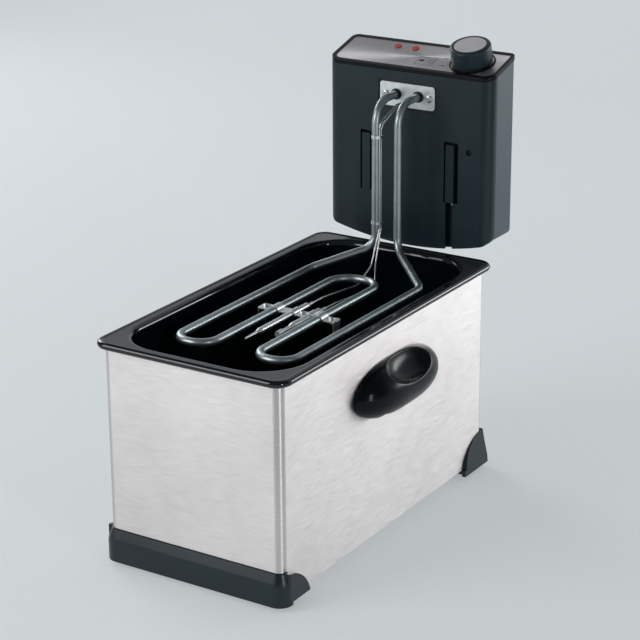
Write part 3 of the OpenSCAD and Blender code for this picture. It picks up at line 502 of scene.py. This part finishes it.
def fasteners(name, tree, places, facing, sizes, replaced, spins=(20, -25, 50, 5)):
    """places in mm; sizes are head radius, head height, shank radius, shank length."""
    mesh = bpy.data.meshes.new(name)
    mesh.from_pydata([Vector(p) * MM for p in places], [], [])
    turns = mesh.attributes.new("facing", "FLOAT_VECTOR", "POINT")
    for k in range(len(places)):
        way = facing[k] if isinstance(facing, list) else facing
        spin = Matrix.Rotation(math.radians(spins[k % len(spins)]), 3, "Z").to_quaternion()
        turns.data[k].vector = (Vector(way).to_track_quat("Z", "Y") @ spin).to_euler()
    piece = run_tree(name, mesh, tree, dict(zip(FASTENER_SIZES, sizes)))
    hand_over(piece, nodes[replaced[0]]["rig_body"], replaced)
    print(f"{name}: {len(places)} made, {len(piece.data.polygons)} faces")


flange_y = FACE_Y - 1
fasteners("flange_screws_made", screw_tree,
          [(x, flange_y, HEAD_Z + 154.5) for x in (-24.6, 24.6)],
          (0, -1, 0), (3.7, 2.2, 2.0, 6.5), ["flange_screws"])
fasteners("casing_screws_made", screw_tree,
          [(x, FACE_Y + HEAD_D - 2.4, HEAD_Z + z) for x in (-75, 75) for z in (35, 155)],
          (0, 1, 0), (3.0, 1.5, 1.5, 20), ["casing_screws"])
clamp_y, clamp_z = FACE_Y - 202, HEAD_Z - 12 + 0.9
clamp_spots = [(x, clamp_y, clamp_z) for x in (-36.5, 4.6, 36.5)]
fasteners("clamp_screws_made", screw_tree, clamp_spots, (0, 0, 1), (3.0, 1.9, 1.5, 5.3),
          ["clamp_screws"])
fasteners("clamp_nuts_made", nut_tree, [(x, y, z - 1.8) for x, y, z in clamp_spots],
          (0, 0, -1), (2.9, 1.8, 1.5, 0.6), ["clamp_screws"])
HANGER_Z = 80.2
rivet_spots = [(s * 48 + x, STEEL_BACK + out, HANGER_Z + z)
               for s in (-1, 1) for x in (-9, 9) for z in (10, 42) for out in (1.5, -1.0)]
fasteners("hanger_rivets_made", rivet_tree, rivet_spots,
          [(0, 1, 0), (0, -1, 0)] * 8, (3.2, 0.9, 2.0, 1.2), ["hanger_rivets"])
for hidden in ("foot_screws", "handle_screws"):
    refinish(hidden, plated_metal)

# %% [markdown]
# ## The oil pot
# The pot is one deep drawing with a flat flange and a rolled bead round the edge. The
# CAD mesh already has the fold, the bead and the rounded floor, so it only needs its
# enamel. Its shape is smooth everywhere, and the gloss does the rest.

# %% Pot
refinish("oil_pot", enamel)

# %% [markdown]
# ## The control head
# Two plastic shells of the same black plastic meet at a seam; the rear one is drawn a
# lighter blue-grey, a painted sheen for the light its side catches. A polished frame sits on
# top and holds the brushed control plate.
# Every edge of a moulding is a small radius, so these four are softened copies.

# %% Shells, frame and plate
# The first two sizes outline the recess floor that gets painted shade
RECESS_SHADE_HALF_W, RECESS_SHADE_HALF_H, FLANGE_Z = 33.3, 14.3, 154.5
shell = soften("head_front_shell", 0.7, satin_black, "_moulded", 3)
# The floor of the flange's recess gets the black rubber finish: painted shade for the dark gap
# round the flange
shell.data.materials.append(rubber)
for face in shell.data.polygons:
    x, y, z = (c / MM for c in face.center)
    inside = abs(x) < RECESS_SHADE_HALF_W and abs(z - HEAD_Z - FLANGE_Z) < RECESS_SHADE_HALF_H
    if inside and FACE_Y + 0.3 < y < FACE_Y + 1.2:
        face.material_index = 1
# The rear shell's lighter blue-grey colour is painted sheen on black plastic
soften("head_rear_shell", 0.6, lightened_black_painted_sheen, "_moulded", 3)
soften("panel_frame", 0.9, polished_black, "_moulded", 3)
soften("panel_plate", 0.2, plate_steel, "_brushed")
refinish("knob_ring", polished_black)
refinish("indicator_lamps", red_plastic)
refinish("cord_gland", rubber)
for inner in ("thermostat_body", "limiter_body", "terminal_block", "interlock_pin"):
    refinish(inner, cream)
refinish("interlock_switch", polished_black)
refinish("reset_button", polished_black)

# %% [markdown]
# ## The knob
# A plain black knob with a spun metal disc let into its top. A small raised mark on the
# disc shows where the knob points, so the disc is softened too and the mark catches light.

# %% Knob with its metal cap
soften("control_knob", 0.35, satin_black, "_moulded", 3)
soften("knob_cap", 0.25, cap_metal, "_spun")
refinish("knob_spindle", plated_metal)

# %% [markdown]
# ## The heating element and its sensors
# The element is one steel tube, bent in a jig, and the two capillaries are thin tubes
# bent by hand. Geometry Nodes can follow a path exactly: the input mesh is the corner
# points joined by edges, each with the radius of its bend. The tree turns them into a
# curve, rounds every corner by its own radius and sweeps a circle along it.

# %% A tree that bends a tube along corner points
def tube_tree(name, material, sides, arc_steps):
    tree, given = geometry_tree(name, ["Tube radius"])
    line = put(tree, "GeometryNodeMeshToCurve", {"Mesh": given["Geometry"]})
    rounded = put(tree, "GeometryNodeFilletCurve",
                  {"Curve": line.outputs["Curve"], "Count": arc_steps,
                   "Radius": attribute(tree, "bend")}, mode="POLY")
    ring = put(tree, "GeometryNodeCurvePrimitiveCircle",
               {"Resolution": sides, "Radius": given["Tube radius"]}, mode="RADIUS")
    tube = put(tree, "GeometryNodeCurveToMesh",
               {"Curve": rounded.outputs["Curve"], "Profile Curve": ring.outputs["Curve"],
                "Fill Caps": True})
    return close_tree(tree, tube.outputs["Mesh"], material)


def bent_tube(node_name, tree, corners, bends, radius):
    """Corners and bend radii in mm, from the middle of the head's lower front edge."""
    mesh = bpy.data.meshes.new(node_name + "_bent")
    shift = Vector((0, FACE_Y, HEAD_Z))
    mesh.from_pydata([(Vector(c) + shift) * MM for c in corners],
                     [(k, k + 1) for k in range(len(corners) - 1)], [])
    sizes = mesh.attributes.new("bend", "FLOAT", "POINT")
    for k, size in enumerate(bends):
        sizes.data[k].value = size * MM
    piece = run_tree(node_name + "_bent", mesh, tree, {"Tube radius": radius})
    skin = bmesh.new()
    skin.from_mesh(piece.data)
    bmesh.ops.recalc_face_normals(skin, faces=skin.faces)
    for face in skin.faces:
        face.smooth = len(face.verts) == 4
    skin.to_mesh(piece.data)
    skin.free()
    hand_over(piece, nodes[node_name]["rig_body"], [node_name])
    print(f"{piece.name}: {len(corners)} corners, {len(piece.data.polygons)} faces")


LEG_X, LEG_Y, EXIT_Z = 12.5, -40.0, 155.0
OUTER_X, INNER_X, COIL_Z = 63.0, 24.5, -12.0
FRONT_Y, BACK_Y, KNEE_Y = -317.0, -87.0, -82.0
TUBE_R, CAPILLARY_R, TUBE_GAP = 4.0, 0.8, 0.2


def half_element(s):
    return [(s * LEG_X, 12, EXIT_Z), (s * LEG_X, LEG_Y, EXIT_Z), (s * LEG_X, LEG_Y, 8),
            (s * OUTER_X, KNEE_Y, COIL_Z), (s * OUTER_X, FRONT_Y, COIL_Z),
            (s * INNER_X, FRONT_Y, COIL_Z), (s * INNER_X, BACK_Y, COIL_Z)]


half_bends = [0, 22, 18, 14, 18.25, 18.25, 23.5]
bent_tube("heating_element", tube_tree("bent_heating_tube", tube_metal, 32, 16),
          half_element(-1) + half_element(1)[::-1], half_bends + half_bends[::-1],
          TUBE_R)

# %% [markdown]
# ## The two capillaries
# Each runs from its bulb along the floor of the coil, up beside the left leg and through
# the flange. The lane is how far each lies to one side of the leg, so that they don't touch.

# %% Capillaries, from each bulb up into the head
capillary_tree = tube_tree("bent_capillary", copper_metal, 12, 6)
for name, start, lane in (("thermostat", (-5, -170), -1.4), ("limiter", (14, -177), 1.4)):
    x, y = start
    leg_x = -LEG_X + TUBE_R + CAPILLARY_R + TUBE_GAP
    leg_y = LEG_Y + lane
    hole = (-2 + lane * 0.86, 148.5)
    corners = [(x, y, COIL_Z), (x, y + 18, COIL_Z), (x - 2, BACK_Y + 4, COIL_Z - 8),
               (leg_x, leg_y - 13 + lane * 2.1, COIL_Z + 4), (leg_x, leg_y, 26),
               (leg_x, leg_y, 132.5 - lane * 1.5), (hole[0], -16, hole[1]),
               (hole[0], 8, hole[1])]
    bent_tube(name + "_capillary", capillary_tree, corners, [0, 9, 12, 9, 14, 10, 7, 0],
              CAPILLARY_R)

# %% [markdown]
# ## Flange, clamp and bulbs
# Pressed and stamped steel with small deburred edges. The bulbs and clips are small and
# round, so they keep their CAD meshes.

# %% Flange, clamp and bulbs
# The ferrules' dark metal is painted shade for the rings where the tubes go into the flange
refinish("tube_ferrules", ferrule_shade_metal)
soften("element_flange", 0.35, bright_metal, "_pressed")
for half in ("clamp_upper", "clamp_lower"):
    soften(half, 0.2, bright_metal, "_stamped")
for sensor in ("thermostat", "limiter"):
    refinish(sensor + "_bulb", bright_metal)
refinish("capillary_clips", bright_metal)
refinish("element_terminals", brass_metal)

# %% [markdown]
# ## The side handles
# Each handle is one thick moulding: half of a smooth turned pod with a scooped dish for
# the thumb. The CAD pod is built from flat facets, so it's drawn again here from the
# same sizes with many more steps. Booleans cut the dish and the finger hollow, Remesh
# lays an even skin of small cells over the result, and Smooth rounds every rim the way
# a polisher's cloth does.

# %% Handles
HANDLE_X, HANDLE_Y, HANDLE_Z = 95.0, -22.0, 157.0
POD_R, POD_HALF, POD_SINK = 26.7, 68.5, 0.5
DISH_R, DISH_HALF, DISH_AT = 24.5, 46, (27, 3, 29)
OUTER_HALF = (0.05, -90, -40), (60, 90, 40)
FINGER_HOLLOW = (1.5, -40, -50), (15.5, 40, -9)
TURN_STEPS, CELL_MM, SMOOTHINGS = 144, 0.7, 9


def turned(name, outline):
    """A solid turned about the Y axis; outline is (radius, y) from end to end, in mm."""
    work = bmesh.new()
    rings = []
    for radius, y in outline:
        if radius < 0.01:
            rings.append([work.verts.new(Vector((0, y, 0)) * MM)])
        else:
            rings.append([work.verts.new(Vector((radius * math.cos(a), y,
                                                 radius * math.sin(a))) * MM)
                          for a in [2 * math.pi * k / TURN_STEPS
                                    for k in range(TURN_STEPS)]])
    for low, high in zip(rings, rings[1:]):
        for k in range(TURN_STEPS):
            n = (k + 1) % TURN_STEPS
            corners = [low[k % len(low)], low[n % len(low)],
                       high[n % len(high)], high[k % len(high)]]
            work.faces.new(list(dict.fromkeys(corners)))
    bmesh.ops.recalc_face_normals(work, faces=work.faces)
    mesh = bpy.data.meshes.new(name)
    work.to_mesh(mesh)
    work.free()
    return mesh


def block(name, low, high):
    mesh = bpy.data.meshes.new(name)
    work = bmesh.new()
    bmesh.ops.create_cube(work, size=1.0)
    for corner in work.verts:
        corner.co = Vector([(low[k] if corner.co[k] < 0 else high[k]) * MM
                            for k in range(3)])
    work.to_mesh(mesh)
    work.free()
    return mesh


def helper(name, mesh, shift_mm=(0, 0, 0)):
    """An object that only serves as a cutter and is removed afterwards."""
    tool = link_object(name, mesh)
    tool.location = Vector(shift_mm) * MM
    return tool


def polished_handle(side):
    node_name = "side_handle_" + side
    angles = [math.radians(a) for a in range(-90, 91, 2)]
    pod = turned("pod", [(POD_R * math.sqrt(max(0, 1 - abs(math.sin(a)) ** 3)),
                          POD_HALF * math.sin(a)) for a in angles])
    pod.transform(Matrix.Translation(Vector((-POD_SINK, 0, 0)) * MM))
    dish = turned("dish", [(DISH_R * math.cos(a), DISH_HALF * math.sin(a)) for a in angles])
    tools = [helper("outer_half", block("outer_half", *OUTER_HALF)),
             helper("dish", dish, DISH_AT),
             helper("hollow", block("hollow", *FINGER_HOLLOW))]
    piece = place_piece(node_name + "_polished", pod, polished_black)
    for tool, operation in zip(tools, ("INTERSECT", "DIFFERENCE", "DIFFERENCE")):
        cut = piece.modifiers.new(tool.name, "BOOLEAN")
        cut.object, cut.operation, cut.solver = tool, operation, "EXACT"
    skin = piece.modifiers.new("even skin", "REMESH")
    skin.mode, skin.voxel_size = "VOXEL", CELL_MM * MM
    relax = piece.modifiers.new("relaxed", "SMOOTH")
    relax.factor, relax.iterations = 0.5, SMOOTHINGS
    plain_mesh(piece)
    for tool in tools:
        bpy.data.objects.remove(tool)
    turn = Matrix.Scale(-1, 4, (1, 0, 0)) if side == "left" else Matrix.Identity(4)
    piece.data.transform(turn @ Matrix.Translation(
        Vector((HANDLE_X, HANDLE_Y, HANDLE_Z)) * MM))
    if side == "left":
        piece.data.flip_normals()
    piece.data.materials.clear()
    piece.data.materials.append(polished_black)
    piece.data.shade_smooth()
    hand_over(piece, nodes[node_name]["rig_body"], [node_name])
    print(f"{piece.name}: {len(piece.data.polygons)} faces")


for side in ("left", "right"):
    polished_handle(side)

# %% [markdown]
# ## Printing on the control plate
# The scale round the knob and the small signs to its left are screen-printed. Geometry
# Nodes lays a thin bar of ink on every point it's given, and each point says how long,
# how wide and how turned its bar is. Ticks, dashes, dots and the frame of the sign are
# all such bars. The numbers are text that is made a mesh, then laid on the slope.

# %% Printed marks and numbers
def ink_tree(material):
    tree, given = geometry_tree("printed_bars", ["Ink thickness"])
    size = put(tree, "ShaderNodeCombineXYZ", {"X": 1.0, "Y": 1.0,
                                              "Z": given["Ink thickness"]})
    bar = put(tree, "GeometryNodeMeshCube", {"Size": size.outputs[0]}).outputs["Mesh"]
    named = {label: attribute(tree, label) for label in ("length", "width", "turn")}
    scale = put(tree, "ShaderNodeCombineXYZ", {"X": named["length"], "Y": named["width"],
                                               "Z": 1.0})
    angle = put(tree, "ShaderNodeCombineXYZ", {"Z": named["turn"]})
    made = set_on_points(tree, given["Geometry"], bar, angle.outputs[0],
                         Scale=scale.outputs[0])
    return close_tree(tree, made, material)


SLOPE = math.radians(16)
KNOB = (57.5, 27.46)
INK_Z, INK_THICKNESS = -0.585, 0.03
SCALE_R, NUMBER_R, NUMBER_H = 25.4, 30.4, 2.8
onto_panel = (Matrix.Translation(Vector((0, FACE_Y, 403)) * MM)
              @ Matrix.Rotation(SLOPE, 4, "X"))


def around_knob(radius, degrees):
    a = math.radians(degrees)
    return KNOB[0] + radius * math.cos(a), KNOB[1] + radius * math.sin(a)


# Each bar: across, up the slope, length, width, turn in degrees
bars = []
for k in range(13):
    degrees = 128 + 8.5 * k
    x, v = around_knob(SCALE_R, degrees)
    bars.append((x, v, 2.4 if k % 3 == 0 else 1.3, 0.5, degrees))
box_x, box_v, box_w, box_h = 9.5, 19.5, 19.0, 15.0
bars += [(box_x, box_v + s * box_h / 2, box_w, 0.45, 0) for s in (-1, 1)]
bars += [(box_x + s * box_w / 2, box_v, box_h + 0.45, 0.45, 90) for s in (-1, 1)]
for row in range(3):
    bars += [(box_x + 2.3 + 2.7 * k, box_v - 3.5 + 3.2 * row, 1.7, 0.6, 35)
             for k in range(3)]
for row, pitch in ((12.5, 3.4), (17.0, 2.9), (21.5, 3.8)):
    bars += [(-9 - pitch * k, row, 1.8 if k % 2 else 0.8, 0.5, 0) for k in range(5)]

marks = bpy.data.meshes.new("printed_bars")
marks.from_pydata([Vector((x, v, INK_Z)) * MM for x, v, *_ in bars], [], [])
for column, label, unit in ((2, "length", MM), (3, "width", MM), (4, "turn", math.pi / 180)):
    values = marks.attributes.new(label, "FLOAT", "POINT")
    for k, row in enumerate(bars):
        values.data[k].value = row[column] * unit
printed = run_tree("printed_bars", marks, ink_tree(ink), {"Ink thickness": INK_THICKNESS})
printed.data.transform(onto_panel)


def ride_on_plate(piece):
    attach(piece, nodes["panel_plate"]["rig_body"])


ride_on_plate(printed)


def number(label, x, v, height_mm):
    curve = bpy.data.curves.new("number_" + label, "FONT")
    curve.body, curve.size = label, height_mm * 1.4 * MM
    curve.align_x, curve.align_y = "CENTER", "CENTER"
    curve.extrude = 0.015 * MM
    piece = link_object("number_" + label, curve)
    bpy.context.view_layer.update()
    mesh = bpy.data.meshes.new_from_object(
        piece.evaluated_get(bpy.context.evaluated_depsgraph_get()))
    bpy.data.objects.remove(piece)
    mesh.transform(onto_panel @ Matrix.Translation(Vector((x, v, INK_Z)) * MM))
    mesh.materials.clear()
    mesh.materials.append(ink)
    ride_on_plate(link_object("number_" + label, mesh))


for label, degrees in (("0", 130), ("130", 153.5), ("160", 179), ("190", 206), ("5", 229)):
    number(label, *around_knob(NUMBER_R, degrees), NUMBER_H)
oval_mesh = bpy.data.meshes.new("printed_oval")
oval = bmesh.new()
bmesh.ops.create_cone(oval, cap_ends=True, segments=32, radius1=1.0, radius2=1.0, depth=1.0)
oval.to_mesh(oval_mesh)
oval.free()
oval_mesh.transform(onto_panel @ Matrix.Translation(Vector((4.6, 19.8, INK_Z)) * MM)
                      @ Matrix.Diagonal((3.1 * MM, 1.9 * MM, INK_THICKNESS * MM, 1)))
oval_mesh.materials.append(ink)
ride_on_plate(link_object("printed_oval", oval_mesh))
print("printed:", len(bars), "bars, 5 numbers and an oval")

# %% [markdown]
# ## Camera, floor and light
# A long lens from the front right corner, a little above the pot. The floor and the
# backdrop are one pale sweep, so there is no horizon. Three large soft lamps stand
# round the table: one high on the left, one low behind on the right for the long steel
# side, and one behind on the left for the rims. A fourth, a narrow strip, draws the
# bright line on the near corner. It is kept weak, because a strong one turns the long
# side white when that side is seen from the right.

# %% Camera
def camera_at(place_mm, yaw, pitch, roll, lens):
    """Yaw turns from +Y towards +X; pitch looks down; both in radians."""
    ahead = Vector((math.sin(yaw) * math.cos(pitch), math.cos(yaw) * math.cos(pitch),
                    -math.sin(pitch)))
    right = Vector((math.cos(yaw), -math.sin(yaw), 0))
    up = right.cross(ahead)
    turned_right = right * math.cos(roll) + up * math.sin(roll)
    turned_up = up * math.cos(roll) - right * math.sin(roll)
    data = bpy.data.cameras.new("studio_camera")
    data.lens = lens
    camera = link_object("studio_camera", data)
    basis = Matrix((turned_right, turned_up, -ahead)).transposed().to_4x4()
    camera.matrix_world = Matrix.Translation(Vector(place_mm) * MM) @ basis
    bpy.context.scene.camera = camera
    return camera


camera = camera_at((1009.9, -1593.5, 875.9), -0.5642, 0.348, -0.0067, 118.2)
print("camera", [round(c, 2) for c in camera.matrix_world.translation], "m")

# %% [markdown]
# ## Floor and lamps
# The sweep keeps the object's shadow. Part of its paleness is given to camera rays and
# glossy rays only, so steel shows the same pale studio that the camera sees without any
# extra light on the object. The room above the lamps is darker in reflections, as a
# studio's ceiling is. The lamps stand where the two steel faces reflect them.

# %% Floor, backdrop and lamps
def pale_sweep():
    """A floor that curves up into a wall behind the object."""
    work = bmesh.new()
    rows = []
    profile = [(-4.0, 0.0), (1.6, 0.0)]
    profile += [(1.6 + 0.8 * math.sin(a), 0.8 - 0.8 * math.cos(a))
                for a in [math.radians(d) for d in range(10, 91, 10)]] + [(2.4, 4.0)]
    for y, z in profile:
        rows.append([work.verts.new((x, y, z)) for x in (-5.0, 5.0)])
    for low, high in zip(rows, rows[1:]):
        work.faces.new((low[0], low[1], high[1], high[0]))
    mesh = bpy.data.meshes.new("studio_sweep")
    work.to_mesh(mesh)
    work.free()
    mesh.shade_smooth()
    return mesh


paper, tree, shader, place = new_material("pale_backdrop_paper")
fibre = noise(tree, place, 260.0, 3.0)
tree.links.new(blend_colours(tree, fibre, "D3D8DA", "D9DDDF"),
               shader.inputs["Base Color"])
shader.inputs["Roughness"].default_value = 0.8


def seen(tree):
    """1 for rays from the camera and for reflections, 0 for the light on the object."""
    rays = put(tree, "ShaderNodeLightPath").outputs
    both = maths(tree, "MAXIMUM", rays["Is Camera Ray"], rays["Is Glossy Ray"])
    return maths(tree, "MAXIMUM", both, rays["Is Transmission Ray"])


glow = put(tree, "ShaderNodeEmission", {"Color": linear("D9DEE0"), "Strength": 0.95})
mixed = put(tree, "ShaderNodeMixShader", {0: maths(tree, "MULTIPLY", seen(tree), 0.5),
                                          1: shader.outputs[0], 2: glow.outputs[0]})
tree.links.new(mixed.outputs[0], tree.nodes["Material Output"].inputs["Surface"])
sweep = link_object("studio_sweep", pale_sweep())
sweep.data.materials.append(paper)


def soft_lamp(name, place_m, aim_m, width, height, watts):
    data = bpy.data.lights.new(name, "AREA")
    data.shape = "RECTANGLE"
    data.size, data.size_y, data.energy = width, height, watts
    lamp = link_object(name, data)
    lamp.location = place_m
    aim = Vector(aim_m) - Vector(place_m)
    lamp.rotation_euler = aim.to_track_quat("-Z", "Y").to_euler()


soft_lamp("key_left", (-1.35, -2.1, 1.2), (0, 0, 0.15), 1.6, 1.4, 36)
soft_lamp("side_right", (1.3, 2.05, 0.45), (0, 0, 0.14), 1.7, 0.6, 26)
soft_lamp("corner_strip", (1.9, -1.0, 0.55), (0, 0, 0.12), 0.05, 1.0, 9)
soft_lamp("rim_behind", (-2.1, 0.9, 1.3), (0, 0, 0.25), 1.2, 1.0, 22)
world = bpy.data.worlds.new("studio_air")
world.use_nodes = True
air = world.node_tree
surface = air.nodes["Background"]
surface.inputs["Color"].default_value = linear("DDE2E5")
glossy = put(air, "ShaderNodeLightPath").outputs["Is Glossy Ray"]
air.links.new(put(air, "ShaderNodeMapRange", {"Value": glossy, "To Min": 0.55,
              "To Max": 0.2}).outputs["Result"], surface.inputs["Strength"])
bpy.context.scene.world = world
bpy.context.scene.view_settings.view_transform = "Standard"
